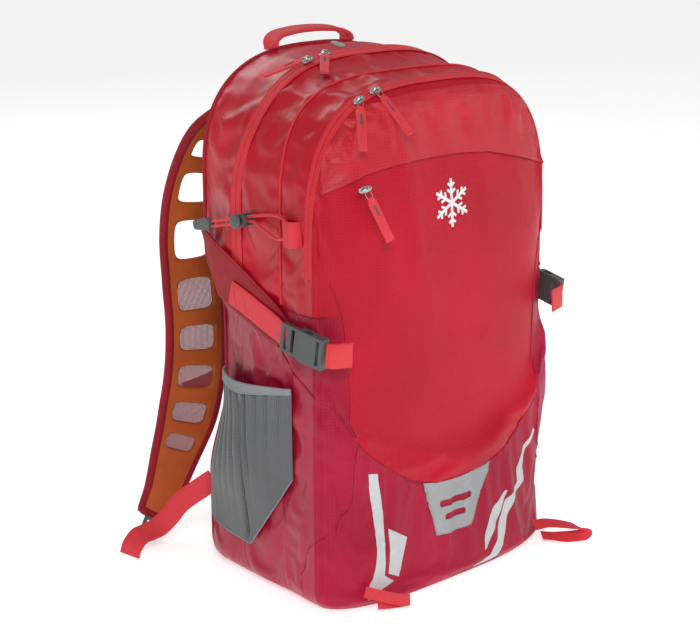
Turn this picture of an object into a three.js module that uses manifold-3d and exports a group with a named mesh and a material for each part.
// A 35 litre ski backpack: sewn bag with a fold-down lid, padded ventilated
// shoulder straps, side compression straps, stretch side pockets, pole keeper
// cords and zip sliders.
// Millimetres. +Z is up, -Y is the front of the bag, +Y faces the wearer and
// -X is the wearer's left. The origin is on the base, under the middle of the bag.
import * as THREE from 'three';
import { mergeVertices } from 'three/addons/utils/BufferGeometryUtils.js';
import Module from 'manifold-3d';

const wasm = await Module();
wasm.setup();

// ---------------------------------------------------------------- dimensions
const GAP = 0.35; // clearance between two sewn neighbours
const WALL = 2.6; // wall of a fabric panel, lining and foam counted in
const BACK_Y = 98; // outer face of the back panel
const REAR_EDGE_Y = 36; // rear gusset stops here, at the main zip
const ZIP_Y = 30; // centre line of the main zip
const LID_EDGE_Y = 24; // lid gusset starts here
const PIPE_Y = -35; // piping seam between the bag and the front pocket
const GUSSET_END_Y = -72; // the pocket gusset stops here, at the front zip
const FRONT_RING_Y = -80; // rim of the front pocket's flap
const FRONT_DEPTH = 37; // how far the front panel domes past the front zip
const FOLD_Z = 285; // the lid folds at this height
const FLAP_Z = 325; // the front pocket's panel folds at this height
const BASE_T = 4; // base panel
const STRAP_W = 70; // shoulder strap width
const STRAP_T = 11; // shoulder strap thickness
const WEB_W = 25; // webbing width
const WEB_T = 1.8; // webbing thickness
const CORD_R = 1.4; // pole keeper cord radius
const TAB_L = 46; // zip pull length
const TAB_W = 9; // zip pull width
const TAB_T = 2.4; // zip pull thickness

// ----------------------------------------------------------------- materials
function mat(name, color, roughness, metalness = 0) {
  const m = new THREE.MeshStandardMaterial({ color, roughness, metalness });
  m.name = name;
  return m;
}
const MATS = {
  ripstop: [0xc8152e, 0.55],
  coral: [0xe0444f, 0.6],
  maroon: [0xa81638, 0.6],
  wing: [0x9c1430, 0.7],
  zip: [0xe0454f, 0.65],
  webbing: [0xe23b4c, 0.7],
  eva: [0xe0701f, 0.75],
  spacer: [0x9a1c33, 0.9],
  mesh: [0x76787a, 0.85],
  plastic: [0x4a4d50, 0.45],
  metal: [0xb9b9bb, 0.3, 0.9],
  sheet: [0xe6e6e2, 0.5],
  lining: [0x8a8d90, 0.8],
};

const bag = new THREE.Group();
bag.name = 'ski_backpack';

function add(name, geometry, slot) {
  const [color, roughness, metalness] = MATS[slot];
  const mesh = new THREE.Mesh(geometry, mat(slot, color, roughness, metalness ?? 0));
  mesh.name = name;
  bag.add(mesh);
  return mesh;
}

// ------------------------------------------------------------ solid builders
const V = (x, y, z) => new THREE.Vector3(x, y, z);
const clamp01 = (t) => Math.min(1, Math.max(0, t));
const smooth = (t) => clamp01(t) ** 2 * (3 - 2 * clamp01(t));
const lerp = (a, b, t) => a + (b - a) * t;

function fromTriangles(points, triangles) {
  const geometry = new THREE.BufferGeometry();
  const flat = points.flatMap((p) => [p.x, p.y, p.z]);
  geometry.setAttribute('position', new THREE.Float32BufferAttribute(flat, 3));
  let volume = 0;
  for (const [a, b, c] of triangles) {
    volume += points[a].dot(points[b].clone().cross(points[c]));
  }
  const order = volume < 0 ? ([a, b, c]) => [a, c, b] : (t) => t;
  geometry.setIndex(triangles.flatMap(order));
  return geometry;
}

// A solid through matching sections, each a closed convex loop of points.
function loft(sections) {
  const n = sections[0].length;
  const points = sections.flat();
  const triangles = [];
  for (let i = 0; i + 1 < sections.length; i += 1) {
    for (let j = 0; j < n; j += 1) {
      const k = (j + 1) % n;
      const [a, b, c, d] = [i * n + j, i * n + k, (i + 1) * n + k, (i + 1) * n + j];
      triangles.push([a, b, c], [a, c, d]);
    }
  }
  const last = (sections.length - 1) * n;
  for (let j = 1; j + 1 < n; j += 1) {
    triangles.push([0, j + 1, j], [last, last + j, last + j + 1]);
  }
  return fromTriangles(points, triangles);
}

// A fabric panel: the surface f(u, v) is its outer face, its wall goes inward.
function panel(f, nu, nv, wall = WALL, side = 1) {
  const outer = [];
  const inner = [];
  const step = 1e-3;
  for (let i = 0; i <= nu; i += 1) {
    for (let j = 0; j <= nv; j += 1) {
      const [u, v] = [i / nu, j / nv];
      const p = f(u, v);
      const du = f(Math.min(1, u + step), v).sub(f(Math.max(0, u - step), v));
      const dv = f(u, Math.min(1, v + step)).sub(f(u, Math.max(0, v - step)));
      const normal = du.cross(dv).normalize().multiplyScalar(side);
      outer.push(p);
      inner.push(p.clone().addScaledVector(normal, -wall));
    }
  }
  const row = nv + 1;
  const count = outer.length;
  const triangles = [];
  const quad = (a, b, c, d) => triangles.push([a, b, c], [a, c, d]);
  for (let i = 0; i < nu; i += 1) {
    for (let j = 0; j < nv; j += 1) {
      const a = i * row + j;
      quad(a, a + row, a + row + 1, a + 1);
      quad(count + a, count + a + 1, count + a + row + 1, count + a + row);
    }
  }
  for (let i = 0; i < nu; i += 1) {
    const [a, b] = [i * row, (i + 1) * row];
    quad(a, count + a, count + b, b);
    quad(a + nv, b + nv, count + b + nv, count + a + nv);
  }
  for (let j = 0; j < nv; j += 1) {
    const [a, b] = [j, nu * row + j];
    quad(a, a + 1, count + a + 1, count + a);
    quad(b, count + b, count + b + 1, b + 1);
  }
  return fromTriangles([...outer, ...inner], triangles);
}

// A flat strip of webbing along points; across(t) is the direction of its width.
function strip(points, across, width, thick, steps = 16) {
  const curve = new THREE.CatmullRomCurve3(points, false, 'centripetal');
  const sections = [];
  for (let i = 0; i <= steps; i += 1) {
    const t = i / steps;
    const p = curve.getPointAt(t);
    const along = curve.getTangentAt(t);
    const wide = across(t).clone().addScaledVector(along, -across(t).dot(along)).normalize();
    const up = along.clone().cross(wide).normalize();
    const corner = (a, b) => p.clone()
      .addScaledVector(wide, (a * width) / 2)
      .addScaledVector(up, (b * thick) / 2);
    sections.push([corner(-1, -1), corner(1, -1), corner(1, 1), corner(-1, 1)]);
  }
  return loft(sections);
}

// A plate cut from an outline in its own plane, with slots cut through it.
function extrude(outline, depth) {
  const shape = new THREE.Shape(outline.map(([x, y]) => new THREE.Vector2(x, y)));
  const geometry = new THREE.ExtrudeGeometry(shape, { depth, bevelEnabled: false });
  return geometry.translate(0, 0, -depth / 2);
}
function plate(outline, slots, thick) {
  if (slots.length === 0) return extrude(outline, thick);
  let solid = toManifold(extrude(outline, thick));
  for (const slot of slots) {
    solid = solid.subtract(toManifold(extrude(slot, thick + 4)));
  }
  return toGeometry(solid);
}

function place(geometry, origin, along, up) {
  const x = along.clone().normalize();
  const z = up.clone().addScaledVector(x, -up.dot(x)).normalize();
  const y = z.clone().cross(x);
  const m = new THREE.Matrix4().makeBasis(x, y, z).setPosition(origin);
  return geometry.clone().applyMatrix4(m);
}

function toManifold(geometry) {
  const bare = geometry.clone();
  bare.deleteAttribute('normal');
  bare.deleteAttribute('uv');
  const merged = mergeVertices(bare, 1e-4);
  return new wasm.Manifold(new wasm.Mesh({
    numProp: 3,
    vertProperties: Float32Array.from(merged.attributes.position.array),
    triVerts: Uint32Array.from(merged.index.array),
  }));
}

function toGeometry(solid) {
  const mesh = solid.getMesh();
  const geometry = new THREE.BufferGeometry();
  const position = new THREE.Float32BufferAttribute(mesh.vertProperties, 3);
  geometry.setAttribute('position', position);
  geometry.setIndex(Array.from(mesh.triVerts));
  return geometry;
}

function box(x0, x1, y0, y1, z0, z1) {
  const geometry = new THREE.BoxGeometry(x1 - x0, y1 - y0, z1 - z0);
  return geometry.translate((x0 + x1) / 2, (y0 + y1) / 2, (z0 + z1) / 2);
}

function mirror(geometry) {
  const flipped = geometry.clone().applyMatrix4(new THREE.Matrix4().makeScale(-1, 1, 1));
  const index = flipped.index
    ? Array.from(flipped.index.array)
    : Array.from({ length: flipped.attributes.position.count }, (_, i) => i);
  for (let i = 0; i < index.length; i += 3) {
    [index[i + 1], index[i + 2]] = [index[i + 2], index[i + 1]];
  }
  flipped.setIndex(index);
  return flipped;
}

// Both sides of the bag carry the same piece, mirrored.
function addPair(name, geometry, slot) {
  add(`${name}_left`, geometry, slot);
  add(`${name}_right`, mirror(geometry), slot);
}

// ------------------------------------------------------------- the bag's form
// Each row is a plane across the depth: half width, top height, height where
// the sides start to arch over, and how square that arch is.
const FORM = [
  { y: 98, w: 134, top: 509, spring: 400, n: 2.6 },
  { y: 88, w: 144, top: 517, spring: 385, n: 2.7 },
  { y: 70, w: 149, top: 521, spring: 360, n: 2.8 },
  { y: 36, w: 151, top: 513, spring: 350, n: 2.9 },
  { y: 10, w: 152, top: 506, spring: 350, n: 3.2 },
  { y: -35, w: 152, top: 498, spring: 350, n: 3.6 },
  { y: -60, w: 154, top: 498, spring: 340, n: 3.3 },
  { y: -80, w: 154, top: 492, spring: 330, n: 3.1 },
];

function form(y) {
  const rows = FORM;
  if (y >= rows[0].y) return rows[0];
  for (let i = 0; i + 1 < rows.length; i += 1) {
    const [a, b] = [rows[i], rows[i + 1]];
    if (y >= b.y) {
      const t = (a.y - y) / (a.y - b.y);
      return {
        w: lerp(a.w, b.w, t),
        top: lerp(a.top, b.top, t),
        spring: lerp(a.spring, b.spring, t),
        n: lerp(a.n, b.n, t),
      };
    }
  }
  return rows[rows.length - 1];
}

// The top run of the main zip leans forward over the load.
function lean(y, z) {
  const near = clamp01((98 - y) / 50) * clamp01((y + 35) / 40);
  return y - 16 * smooth((z - 390) / 110) * near;
}

// The compression strap draws the rear of each side in, between pocket and lid.
function pinch(y, z) {
  return 22 * smooth((y + 10) / 108) * smooth((325 - z) / 70) * smooth((z - 90) / 90);
}

// A point of the arch in plane y: s is -1 at the left fold, 0 at the top
// centre and 1 at the right fold; inset moves it inside the form.
function arch(y, s, inset = 0, foot = FOLD_Z) {
  const f = form(y);
  const w = f.w - inset;
  const top = f.top - inset;
  const a = Math.abs(s);
  const sign = s < 0 ? -1 : 1;
  const bend = 0.62;
  let x = w;
  let z = lerp(f.spring, foot, (a - bend) / (1 - bend));
  if (a < bend) {
    const angle = (a / bend) * (Math.PI / 2);
    x = w * Math.sin(angle) ** (2 / f.n);
    z = f.spring + (top - f.spring) * Math.cos(angle) ** (2 / f.n);
  }
  return V(sign * (x - pinch(y, z)), lean(y, z), z);
}

// Half width at a height, for pieces that lie on the arch.
function halfWidth(y, z, inset = 0) {
  const f = form(y);
  const w = f.w - inset;
  if (z <= f.spring) return w;
  const t = clamp01((z - f.spring) / (f.top - inset - f.spring));
  return w * (1 - t ** f.n) ** (1 / f.n);
}

// How far the front panel stands forward at (x, z).
function frontY(x, z, inset = 0) {
  const w = halfWidth(FRONT_RING_Y, z, inset);
  const across = Math.sqrt(1 - Math.min(1, Math.abs(x) / Math.max(w, 1e-3)) ** 3.2);
  const f = form(FRONT_RING_Y);
  const rise = clamp01((z - 300) / (f.top - inset - 300));
  const up = Math.sqrt(1 - rise ** 2.2);
  return FRONT_RING_Y - (FRONT_DEPTH - inset) * across * up;
}

// Lower corners of the bag round in towards the base.
function footIn(z, radius = 22) {
  const t = clamp01((radius - z) / radius);
  return radius * (1 - Math.sqrt(1 - (0.92 * t) ** 2));
}

// ---------------------------------------------------------- fabric of the bag
const band = (y0, y1, inset, nu, nv, wall = WALL) =>
  panel((u, v) => arch(lerp(y0, y1, v), lerp(-1, 1, u), inset), nu, nv, wall, -1);

add('rear_gusset', band(94.6, REAR_EDGE_Y, 0, 40, 3), 'ripstop');
add('lid_gusset', band(LID_EDGE_Y, PIPE_Y + GAP, 0, 40, 2), 'ripstop');
add('pocket_gusset', band(PIPE_Y - GAP, GUSSET_END_Y, 0, 40, 2), 'ripstop');

// Zip tapes: two narrow bands on each side of each row of teeth.
add('main_zip_body', band(REAR_EDGE_Y - GAP, ZIP_Y + GAP / 2, 0, 40, 1, 2), 'zip');
add('main_zip_lid', band(ZIP_Y - GAP / 2, LID_EDGE_Y + GAP, 0, 40, 1, 2), 'zip');

// Back panel, cut to the outline of the rearmost arch.
function backOutline(inset, foot) {
  const out = [];
  for (let i = 0; i <= 40; i += 1) {
    const p = arch(BACK_Y, lerp(-1, 1, i / 40), inset);
    out.push([p.x, p.z]);
  }
  const w = form(BACK_Y).w - inset;
  const waist = [268, 252, 232, 200, 170, 150, 130, 112, 95];
  for (const z of waist) out.push([w - pinch(BACK_Y, z), z]);
  for (const k of [0, 0.33, 0.66, 1]) {
    const angle = (k * Math.PI) / 2;
    out.push([w - 20 + 20 * Math.cos(angle), foot + 20 - 20 * Math.sin(angle)]);
  }
  for (const k of [1, 0.66, 0.33, 0]) {
    const angle = (k * Math.PI) / 2;
    out.push([-w + 20 - 20 * Math.cos(angle), foot + 20 - 20 * Math.sin(angle)]);
  }
  for (const z of waist.reverse()) out.push([-w + pinch(BACK_Y, z), z]);
  return out;
}
function upright(outline, holes, y0, y1) {
  const flat = plate(outline, holes, y1 - y0);
  return flat.rotateX(Math.PI / 2).translate(0, (y0 + y1) / 2, 0);
}
add('back_panel', upright(backOutline(0, BASE_T + GAP), [], BACK_Y - 3, BACK_Y), 'maroon');
add('frame_sheet', upright(backOutline(16, 26), [], BACK_Y - 7, BACK_Y - 5.4), 'sheet');

// Base panel: a flat tray bottom that follows the walls in plan.
function planOutline(z, inset, backY) {
  const out = [];
  const w = (y) => form(y).w - footIn(z) - inset;
  for (const y of [backY, 88, 70, 36, 10, -35, -60, -80]) out.push([w(y), y]);
  for (let i = 1; i < 16; i += 1) {
    const k = Math.cos((i * Math.PI) / 16);
    const x = Math.sign(k) * Math.abs(k) ** 0.6;
    const y = FRONT_RING_Y - (FRONT_DEPTH - inset) * Math.sqrt(1 - Math.abs(x) ** 3.2);
    out.push([x * w(-80), y + footIn(z, 9)]);
  }
  for (const y of [-80, -60, -35, 10, 36, 70, 88, backY]) out.push([-w(y), y]);
  return out;
}
add('base_panel', plate(planOutline(3, 0, 97), [], BASE_T).translate(0, 0, BASE_T / 2), 'maroon');

// Lower side walls.
const lowerSide = panel((u, v) => {
  const y = lerp(94.6, PIPE_Y + GAP, u);
  const z = lerp(BASE_T + GAP, FOLD_Z - 1.3, v ** 1.4);
  return V(-(form(y).w - footIn(z) - pinch(y, z)), y, z);
}, 12, 15, WALL, 1);
addPair('lower_side', lowerSide, 'maroon');

// The lower front pocket: its side walls and the panel across the front.
add('lower_pocket', panel((u, v) => {
  const z = lerp(BASE_T + GAP, FOLD_Z - GAP, v ** 1.4);
  const w = (y) => form(y).w - footIn(z);
  const a = Math.abs(lerp(-1, 1, u));
  const sign = u < 0.5 ? -1 : 1;
  const turn = 0.72;
  if (a > turn) {
    const y = lerp(FRONT_RING_Y, PIPE_Y, (a - turn) / (1 - turn));
    return V(sign * w(y), y, z);
  }
  const k = Math.sin((a / turn) * (Math.PI / 2)) ** 0.6;
  const y = FRONT_RING_Y - FRONT_DEPTH * Math.sqrt(1 - k ** 3.2);
  return V(sign * k * w(FRONT_RING_Y), y + footIn(z, 9), z);
}, 40, 6, WALL, 1), 'maroon');

// Dividers between the main compartment and the front pocket.
const dividerY = PIPE_Y - 3;
add('lower_divider', box(-141, 141, dividerY - 1.2, dividerY, BASE_T + 4, FOLD_Z - 1), 'lining');
function dividerOutline() {
  const out = [];
  for (let i = 0; i <= 32; i += 1) {
    const p = arch(PIPE_Y, lerp(-1, 1, i / 32), WALL + 1.2);
    out.push([p.x, p.z]);
  }
  return out;
}
add('lid_divider', upright(dividerOutline(), [], PIPE_Y + 3, PIPE_Y + 4.2), 'lining');

// Front panel of the pocket: a strip on the lid, then the zipped flap above it.
function frontPatch(z0, z1, inset, wall, edge = 0) {
  return panel((u, v) => {
    const z = lerp(z0, z1, v);
    const k = Math.sin(lerp(-1, 1, u) * (Math.PI / 2));
    const x = Math.sign(k) * Math.abs(k) ** 0.7;
    const w = halfWidth(FRONT_RING_Y, z, inset) - 0.02;
    return V(x * w, Math.min(frontY(x * w, z, inset), FRONT_RING_Y - edge), z);
  }, 28, 4, wall, 1);
}
add('front_strip', frontPatch(FOLD_Z, FLAP_Z - GAP, 0, WALL), 'ripstop');


const flapTop = form(FRONT_RING_Y).top - 2.5;
add('front_flap', frontPatch(FLAP_Z, flapTop, 0, WALL), 'ripstop');
const flapBand = (y0, y1) => panel((u, v) => (
  arch(lerp(y0, y1, v), lerp(-1, 1, u), 0, FLAP_Z)), 36, 1, 2, -1);
add('front_zip_gusset', band(GUSSET_END_Y - GAP, -75.8, 0, 36, 1, 2), 'zip');
add('front_zip_flap', flapBand(-76.2, -79.6), 'zip');

// ------------------------------------------------------- zip sliders and pulls
// A slider body straddles the teeth; its pull hangs from a bridge on top.
function sliderBody(length = 13, width = 9) {
  const base = toManifold(box(-length / 2, length / 2, -width / 2, width / 2, 0, 3));
  const post = toManifold(box(-3.5, 4.5, -1.4, 1.4, 2.9, 6.2));
  const eye = toManifold(box(-1.4, 2.4, -2, 2, 4, 5.2));
  return toGeometry(base.add(post).subtract(eye));
}
function pullTab() {
  const w = TAB_W / 2;
  const outline = [[1.5, -2.4], [6, -w], [TAB_L, -w * 0.92], [TAB_L, w * 0.92], [6, w], [1.5, 2.4]];
  const slot = [[9, -1.1], [9, 1.1], [20, 1.1], [20, -1.1]];
  return plate(outline, [slot], TAB_T);
}
// Each slider sits on its zip at arch position s; end is where its pull points.
const SLIDERS = [
  { name: 'main_left', y: ZIP_Y, s: -0.138, end: V(-118, 22, 480) },
  { name: 'main_right', y: ZIP_Y, s: -0.085, end: V(-86, -22, 490) },
  { name: 'front_left', y: -77, s: -0.19, end: V(-118, -100, 438) },
  { name: 'front_right', y: -77, s: -0.129, end: V(-64, -108, 444) },
];
// The form's outward direction on the arch, from two neighbouring points.
function outwardAt(y, s) {
  const run = arch(y, s + 0.01).sub(arch(y, s - 0.01)).normalize();
  const deep = arch(y - 1, s).sub(arch(y + 1, s)).normalize();
  return { run, out: deep.clone().cross(run).normalize() };
}
// A pull on the convex top lies parallel to the fabric under its slider.
function layFlat(eye, end, out) {
  const away = end.clone().sub(eye);
  return end.clone().addScaledVector(out, -away.dot(out));
}
// A pull on the front swings forward until the domed panel clears it.
function layOnFront(eye, end) {
  const tip = end.clone();
  for (let i = 0; i < 24; i += 1) {
    const t = ((i % 8) + 1) / 8;
    const p = eye.clone().lerp(tip, t);
    const clear = frontY(p.x, Math.min(p.z, form(FRONT_RING_Y).top - 1)) - 2.8;
    if (p.y > clear) tip.y -= (p.y - clear) / t;
  }
  return tip;
}
function addSlider(name, foot, run, out, end) {
  const at = foot.clone().addScaledVector(out, 2);
  add(`${name}_slider`, place(sliderBody(), at, run, out), 'metal');
  const eye = at.clone().addScaledVector(out, 4.6);
  const hang = (name.startsWith('main') ? layFlat(eye, end, out) : layOnFront(eye, end))
    .sub(eye).normalize();
  add(`${name}_pull`, place(pullTab(), eye.addScaledVector(hang, 6.8), hang, out), 'coral');
}
for (const { name, y, s, end } of SLIDERS) {
  const { run, out } = outwardAt(y, s);
  if (y < PIPE_Y) out.add(V(0, -0.55, 0)).normalize();
  addSlider(name, arch(y, s), run, out, end);
}
const pocketAt = V(-113, frontY(-113, 408), 408);
addSlider('pocket', pocketAt, V(0.93, -0.28, 0.2), V(-0.25, -1, 0.12).normalize(), V(-98, -121, 366));

// ----------------------------------------------------------- shoulder straps
// The strap leaves the top of the back panel, stands off behind the bag and
// swings out towards its lower end.
const STRAP_PATH = [
  [-62, 112, 456], [-71, 127, 447], [-84, 153, 412], [-91, 172, 365], [-94, 179, 318],
  [-94, 177, 268], [-95, 172, 220], [-100, 170, 172], [-110, 172, 124], [-126, 176, 80],
  [-143, 174, 46], [-160, 168.6, 24],
].map((p) => V(...p));
const strapCurve = new THREE.CatmullRomCurve3(STRAP_PATH, false, 'centripetal');
const strapAcross = (t) => V(1, 0.16 * smooth(t / 0.12) + 0.1 * t, 0.02 - 0.15 * smooth((t - 0.62) / 0.38));
function strapFrame(t) {
  const along = strapCurve.getTangentAt(t);
  const wide = strapAcross(t).addScaledVector(along, -strapAcross(t).dot(along)).normalize();
  return { p: strapCurve.getPointAt(t), along, wide, up: along.clone().cross(wide).normalize() };
}
// Widest over the shoulder, narrower towards both ends.
const strapWidth = (t) => STRAP_W * (0.72 + 0.28 * smooth(t / 0.12)) * (1 - 0.42 * smooth((t - 0.72) / 0.28));
function strapSolid() {
  const sections = [];
  const steps = 44;
  for (let i = 0; i <= steps; i += 1) {
    const t = i / steps;
    const { p, wide, up } = strapFrame(t);
    const h = strapWidth(t) / 2;
    const corner = (a, b) => p.clone().addScaledVector(wide, a).addScaledVector(up, b);
    sections.push([
      corner(-h, -1.5), corner(-h + 4, -STRAP_T / 2), corner(h - 4, -STRAP_T / 2), corner(h, -1.5),
      corner(h, 1.5), corner(h - 4, STRAP_T / 2), corner(-h + 4, STRAP_T / 2), corner(-h, 1.5),
    ]);
  }
  return loft(sections);
}
// Ventilation windows: rounded four-sided openings down the strap.
const WINDOWS = [
  [0.135, 0.17], [0.215, 0.275], [0.325, 0.4], [0.455, 0.515],
  [0.56, 0.605], [0.65, 0.69], [0.735, 0.77], [0.81, 0.835],
];
function windowCutter(t0, t1) {
  const sections = [];
  const steps = 4;
  for (let i = 0; i <= steps; i += 1) {
    const t = lerp(t0, t1, i / steps);
    const { p, wide, up } = strapFrame(t);
    const h = strapWidth(t) / 2;
    const flare = 1 - 0.28 * (i / steps);
    const near = -h + 16;
    const far = near + (2 * h - 30) * flare;
    const corner = (a, b) => p.clone().addScaledVector(wide, a).addScaledVector(up, b);
    sections.push([corner(near, -12), corner(far, -12), corner(far, 12), corner(near, 12)]);
  }
  return loft(sections);
}
let strap = toManifold(strapSolid());
for (const [t0, t1] of WINDOWS) {
  strap = strap.subtract(toManifold(windowCutter(t0, t1)));
}
addPair('shoulder_strap', toGeometry(strap), 'eva');

// Lower webbing: from the corner of the bag, past the inside of the strap to the
// ladder lock at its end, and on as a loose tail that touches the ground.
const lowWeb = [
  [-128, 106, 76], [-135, 120, 64], [-148, 136, 48], [-160, 142, 33], [-171, 146, 23.5],
  [-183, 147, 21], [-195, 146, 20], [-204, 146, 12], [-207, 147, 2.4],
].map((p) => V(...p));
addPair('strap_webbing', strip(lowWeb, () => V(0.35, 0.8, 0.5), 22, WEB_T, 28), 'webbing');

// Ladder lock: a small frame with two slots.
const lockOutline = [[-9, -13], [9, -13], [10.5, -10], [10.5, 10], [9, 13], [-9, 13], [-10.5, 10], [-10.5, -10]];
const slotAt = (x0, x1, h) => [[x0, -h], [x0, h], [x1, h], [x1, -h]];
const ladderLock = plate(lockOutline, [slotAt(-6.4, -2.4, 10.6), slotAt(2.4, 6.4, 10.6)], 4);
const strapEnd = strapFrame(1);
const ladderAt = strapEnd.p.clone().addScaledVector(strapEnd.along, 11.4);
addPair('ladder_lock', place(ladderLock, ladderAt, strapEnd.along, strapEnd.up), 'plastic');

// Sternum strap: webbing from each shoulder strap to a buckle in the middle.
const sternumZ = 150;
const sternumWeb = [
  [-108, 182.6, sternumZ - 3], [-80, 187.5, sternumZ], [-50, 194, sternumZ], [-24.3, 199, sternumZ],
].map((p) => V(...p));
const sternumLeft = strip(sternumWeb, () => V(0, 0.02, 1), 20, WEB_T, 10);
add('sternum_webbing_left', sternumLeft, 'webbing');
add('sternum_webbing_right', mirror(sternumLeft), 'webbing');

// ------------------------------------------------------ side release buckles
// The plug is a comb: two springy prongs and a guide in the middle.
function plugGeometry(scale) {
  const outline = [
    [-22, -12], [-20, -14], [-2, -14], [0, -12], [0, -11], [14, -11.4], [17, -9], [17, -7.4],
    [3, -7.6], [3, -1.4], [12, -1.4], [12, 1.4], [3, 1.4], [3, 7.6], [17, 7.4], [17, 9],
    [14, 11.4], [0, 11], [0, 12], [-2, 14], [-20, 14], [-22, 12],
  ].map(([x, y]) => [x * scale, y * scale]);
  const slots = [slotAt(-18 * scale, -14 * scale, 11 * scale), slotAt(-9 * scale, -5 * scale, 11 * scale)];
  return plate(outline, slots, 4.2 * scale);
}
function socketGeometry(scale) {
  const k = scale;
  let body = toManifold(box(0.8 * k, 32 * k, -15 * k, 15 * k, -4.6 * k, 4.6 * k));
  body = body.subtract(toManifold(box(0, 20 * k, -12.2 * k, 12.2 * k, -2.7 * k, 2.7 * k)));
  body = body.subtract(toManifold(box(6 * k, 15.5 * k, -18 * k, 18 * k, -2.7 * k, 2.7 * k)));
  body = body.subtract(toManifold(box(24 * k, 28 * k, -11.5 * k, 11.5 * k, -9 * k, 9 * k)));
  return toGeometry(body);
}
const buckleAt = V(-162.5, -72, 267);
const buckleAlong = V(0.1, -0.975, -0.15);
const buckleOut = V(-1, 0, 0);
addPair('compression_plug', place(plugGeometry(1), buckleAt, buckleAlong, buckleOut), 'plastic');
addPair('compression_socket', place(socketGeometry(1), buckleAt, buckleAlong, buckleOut), 'plastic');
const small = 0.78;
const sternumAt = V(-4, 199.4, sternumZ);
add('sternum_plug', place(plugGeometry(small), sternumAt, V(1, 0, 0), V(0, 1, 0)), 'plastic');
add('sternum_socket', place(socketGeometry(small), sternumAt, V(1, 0, 0), V(0, 1, 0)), 'plastic');

// Compression wing: a stiff triangle of fabric that carries the side webbing.
const wingOutline = [[84, 350], [52, 288], [-28, 256], [-49, 260], [-50.5, 280], [-30, 296], [20, 322]];
const wing = plate(wingOutline, [], 1.8).applyMatrix4(
  new THREE.Matrix4().makeBasis(V(0, 1, 0), V(0, 0, 1), V(1, 0, 0)));
addPair('wing', wing.translate(-157, 0, 0), 'wing');
const frontWeb = [[-159.2, -104.9, 262], [-156, -109.5, 261.5], [-143.5, -113, 260.5], [-128, -116.2, 259]];
addPair('front_webbing', strip(frontWeb.map((p) => V(...p)), () => V(0, 0.02, 1), 22, WEB_T, 8), 'webbing');

// ------------------------------------------------------------- side pockets
const pocketTop = (y) => lerp(224, 214, clamp01((y + 53) / 140));
function pocketFoot(y) {
  if (y < 10) return lerp(128, 44, clamp01((y + 53) / 63));
  return lerp(44, 52, (y - 10) / 74);
}
addPair('side_pocket', panel((u, v) => {
  const y = lerp(84, -53, u);
  const z = lerp(pocketFoot(y), pocketTop(y), v);
  const belly = Math.sin(Math.PI * u) ** 0.75 * (0.18 + 0.82 * smooth(v * 1.5));
  const x = -(form(y).w - footIn(z) - pinch(y, z)) - 2.6 - 17 * belly;
  return V(x, y, z);
}, 16, 12, 1.6, 1), 'mesh');

// ------------------------------------------------- pole keeper cord and lock
const CORD_X = -160.5;
const CORD_ROUTE = [
  [55.9, 359.8], [44, 362.6], [30, 366], [6, 371.8], [-6, 374.6], [-24, 378.4], [-42, 380.4],
  [-52, 378], [-56, 371], [-54, 363.6], [-46, 359.4], [-34, 360], [-20, 364.8],
  [-6, 369.8], [6, 367], [30, 361.2], [44, 357.8], [55.9, 355],
];
const cordPath = new THREE.CatmullRomCurve3(
  CORD_ROUTE.map(([y, z]) => V(CORD_X, y, z)), false, 'centripetal');
const ring8 = new THREE.Shape(Array.from({ length: 8 }, (_, i) => (
  new THREE.Vector2(CORD_R * Math.cos((i * Math.PI) / 4), CORD_R * Math.sin((i * Math.PI) / 4)))));
const cord = new THREE.ExtrudeGeometry(ring8, { steps: 48, bevelEnabled: false, extrudePath: cordPath });
addPair('pole_cord', cord, 'coral');

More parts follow.
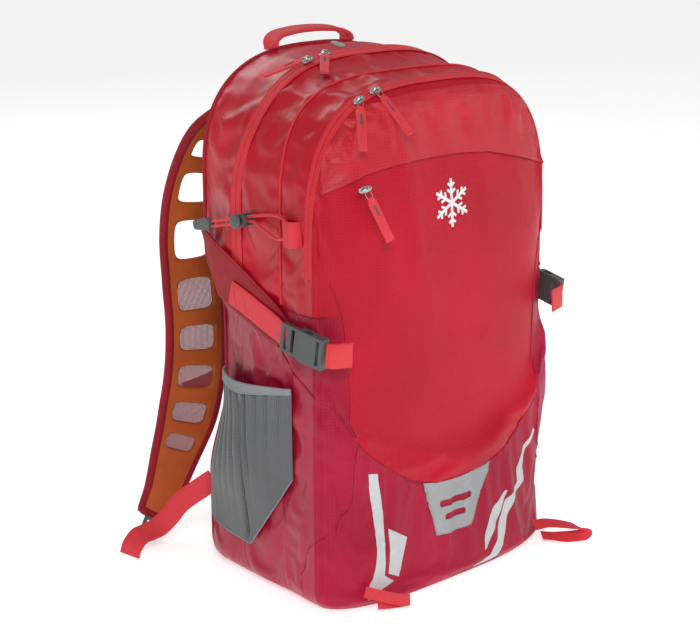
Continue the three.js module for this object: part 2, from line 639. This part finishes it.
const lockAt = V(CORD_X, 5, 369.6);
const strandDir = V(0, 1, -0.24).normalize();
const lockUp = V(-0.12, 0.1, 1).normalize();
function cordLock() {
  const barrel = new THREE.CylinderGeometry(6.6, 6, 15, 14).rotateX(Math.PI / 2);
  const hole = box(-9, 9, -4.8, 4.8, -2.4, 2.4);
  const bore = new THREE.CylinderGeometry(3.2, 3.2, 4, 14).rotateX(Math.PI / 2).translate(0, 0, 6.6);
  return toGeometry(toManifold(barrel).subtract(toManifold(hole)).subtract(toManifold(bore)));
}
addPair('cord_lock', place(cordLock(), lockAt, strandDir, V(-1, 0, 0)), 'plastic');
const knob = new THREE.LatheGeometry([
  [0, 7.9], [2.8, 7.9], [2.8, 11], [7, 11.4], [7.4, 12.8], [6, 14.2], [0, 14.8],
].map(([x, y]) => new THREE.Vector2(x, y)), 14).rotateX(Math.PI / 2);
addPair('cord_button', place(knob, lockAt, strandDir, V(-1, 0, 0)), 'plastic');
const clip = plate([[-13, -4], [-10, -6], [9, -5], [12.5, -3.4], [12.5, 3.4], [9, 5], [-10, 6], [-13, 4]], [], 7);
addPair('cord_clip', place(clip, V(CORD_X, 69.5, 354.7), V(0, 1, -0.2), V(-1, 0, 0)), 'plastic');

// ------------------------------------------------------------ loops and pads
const handlePath = [
  [-50, 96.4, 512.2], [-48.5, 98.5, 517], [-38, 102, 522.5], [-16, 104, 525],
  [16, 104, 525], [38, 102, 522.5], [48.5, 98.5, 517], [50, 96.4, 512.2],
].map((p) => V(...p));
add('haul_handle', strip(handlePath, () => V(0, 1, 0.1), 20, 5, 22), 'coral');

const gearLoop = [
  [118, -113.4, 22], [133, -118, 22], [152, -129, 18], [165, -139, 13], [170, -141, 8],
  [164, -136, 4.4], [148, -125, 4.6], [130, -114.4, 8],
].map((p) => V(...p));
add('gear_loop_right', strip(gearLoop, () => V(-0.55, 0.7, 0.25), 13, 1.6, 22), 'webbing');
// The left loop has been pushed round against the front of the bag.
const foldedLoop = [
  [-120, -113.6, 22], [-112, -121, 19], [-99, -129, 14], [-86, -133, 9.5], [-79, -132, 7.6],
  [-84, -128.4, 6.4], [-96, -123.6, 6.6], [-108, -118.6, 7.6],
].map((p) => V(...p));
add('gear_loop_left', strip(foldedLoop, () => V(0.3, 0.35, 0.9), 11, 1.6, 22), 'webbing');

// Back pads: two long foam cushions with an air channel between them.
function padOutline() {
  const shape = [[14, 60], [96, 60], [110, 78], [112, 250], [98, 400], [82, 428], [30, 428], [14, 410]];
  return shape.map(([x, z]) => [-x, z]).reverse();
}
addPair('back_pad', upright(padOutline(), [], BACK_Y + GAP, BACK_Y + 15), 'spacer');

export default bag;
